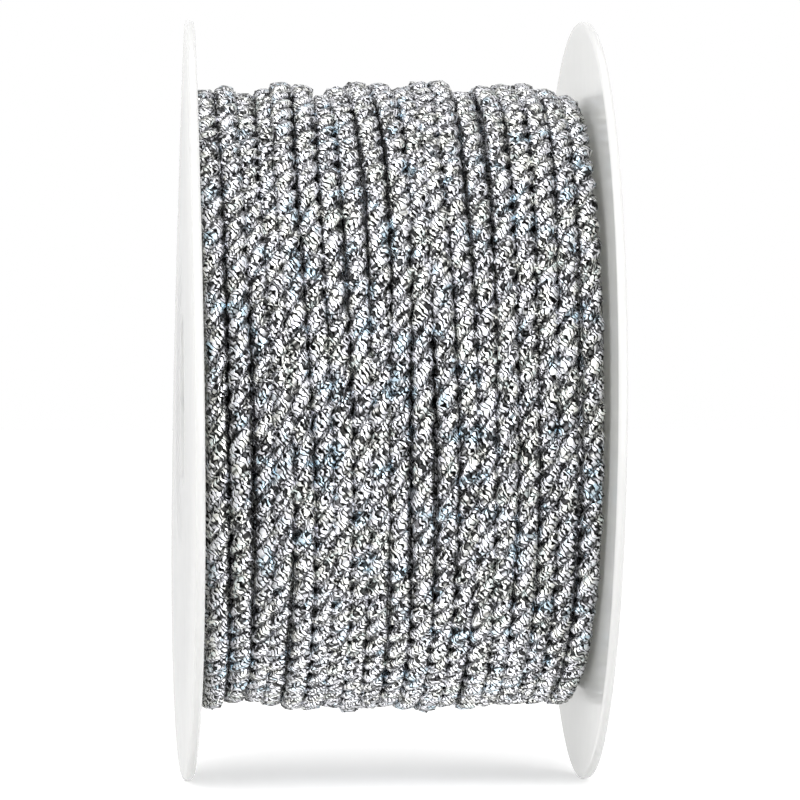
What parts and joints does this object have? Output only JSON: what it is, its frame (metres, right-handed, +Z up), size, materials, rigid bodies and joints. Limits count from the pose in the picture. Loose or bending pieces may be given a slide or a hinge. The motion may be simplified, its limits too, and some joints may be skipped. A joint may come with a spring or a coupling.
{
  "type": "cord spool",
  "caption": "Small white plastic reel with thin round flanges, wound full with silver twisted metallic cord; turns on a spindle through its hub.",
  "frame": {"origin": "centre of the reel on its spindle axis, midway between the two flanges", "axes": "+X along the spindle axis from the left flange to the right one, +Z up with the reel standing on its rims, -Y towards the front"},
  "size_m": [0.0406, 0.075, 0.075],
  "materials": {
    "flange_plastic": "thin white moulded polystyrene, slightly translucent, smooth and softly glossy",
    "core_plastic": "white extruded polystyrene tube",
    "metallic_cord": "silver foil yarn, two plies twisted into a round cord, glittering"
  },
  "bodies": {
    "root": {"flange_left": "flange_plastic", "flange_right": "flange_plastic", "core_tube": "core_plastic", "cord_start": "metallic_cord", "cord_layer_1": "metallic_cord", "cord_layer_2": "metallic_cord", "cord_layer_3": "metallic_cord", "cord_layer_4": "metallic_cord", "cord_layer_5": "metallic_cord", "cord_layer_6": "metallic_cord", "cord_layer_7": "metallic_cord", "cord_layer_8": "metallic_cord", "cord_end": "metallic_cord"}
  },
  "joints": []
}
